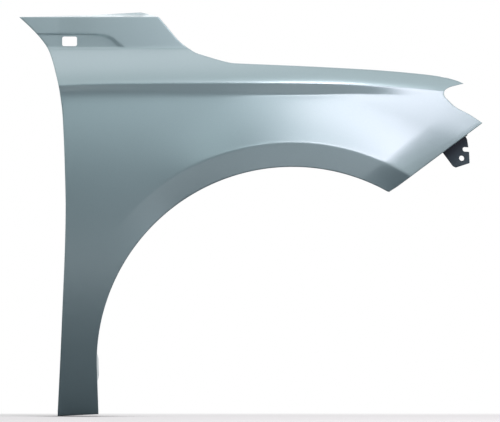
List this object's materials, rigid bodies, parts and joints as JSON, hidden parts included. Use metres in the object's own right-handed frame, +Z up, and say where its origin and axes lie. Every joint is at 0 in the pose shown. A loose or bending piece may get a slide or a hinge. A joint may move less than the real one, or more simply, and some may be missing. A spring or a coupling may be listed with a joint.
{
  "type": "car fender",
  "caption": "Pressed steel front fender for the right side of a car, with a wheel-arch lip, folded mounting flanges, an indicator hole and a small welded bumper bracket.",
  "frame": {"origin": "middle of the underside of the bonnet bolting flange, between its two middle bolt holes", "axes": "+X towards the front of the car, +Y inboard, +Z up"},
  "size_m": [0.8452, 0.1528, 0.7346],
  "materials": {
    "panel_paint": "satin grey-green silver primer coat",
    "bracket_primer": "dark electrocoat primer"
  },
  "bodies": {
    "root": {"fender_panel": "panel_paint", "bumper_bracket": "bracket_primer"}
  },
  "joints": []
}
